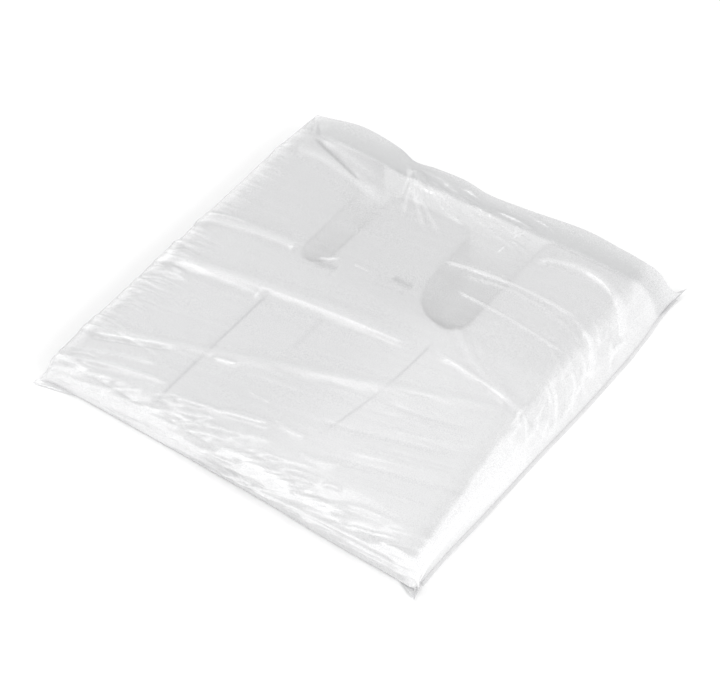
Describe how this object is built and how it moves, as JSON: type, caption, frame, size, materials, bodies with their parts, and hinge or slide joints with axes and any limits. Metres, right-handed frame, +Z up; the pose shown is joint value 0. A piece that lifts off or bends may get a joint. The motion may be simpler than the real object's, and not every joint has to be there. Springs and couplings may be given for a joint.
{
  "type": "barber cape",
  "caption": "Flat pack of folded disposable salon capes with neck cut-outs and ties, in a clear film bag that is open at one end.",
  "frame": {"origin": "on the floor under the middle of the bag", "axes": "+Z up, +Y out of the bag's open mouth, where the capes' neck ends lie, +X to the right of someone who looks into +Y"},
  "size_m": [0.33, 0.343, 0.0272],
  "materials": {
    "clear_film": "clear polythene, crinkled and glossy",
    "welded_film": "doubled, welded polythene",
    "cape_film": "thin translucent white polythene, finely crinkled"
  },
  "bodies": {
    "bag": {"bag_bottom_lip": "clear_film", "bag_bottom_panel": "clear_film", "bag_ear_front_left": "welded_film", "bag_ear_front_right": "welded_film", "bag_ear_mouth_left": "welded_film", "bag_ear_mouth_right": "welded_film", "bag_front_panel": "clear_film", "bag_left_panel": "clear_film", "bag_left_weld": "welded_film", "bag_right_panel": "clear_film", "bag_right_weld": "welded_film", "bag_top_lip": "clear_film", "bag_top_panel": "clear_film"},
    "cape_stack": {"cape_01": "cape_film", "cape_02": "cape_film", "cape_03": "cape_film", "cape_04": "cape_film", "cape_05": "cape_film", "cape_06": "cape_film", "cape_07": "cape_film", "cape_08": "cape_film", "cape_09": "cape_film", "cape_10": "cape_film", "cape_11": "cape_film", "cape_12": "cape_film", "cape_13": "cape_film", "cape_14": "cape_film", "cape_15": "cape_film", "cape_16": "cape_film", "cape_17": "cape_film", "cape_18": "cape_film", "cape_19": "cape_film", "cape_20": "cape_film", "cape_21": "cape_film", "cape_22": "cape_film", "cape_23": "cape_film"},
    "top_cape": {"cape_24": "cape_film"}
  },
  "joints": [
    {"name": "stack_slide", "type": "slide", "parent": "bag", "child": "cape_stack", "axis": [0, 1, 0], "range_m": [0, 0.33]},
    {"name": "top_cape_slide", "type": "slide", "parent": "bag", "child": "top_cape", "axis": [0, 1, 0], "range_m": [0, 0.33]}
  ]
}
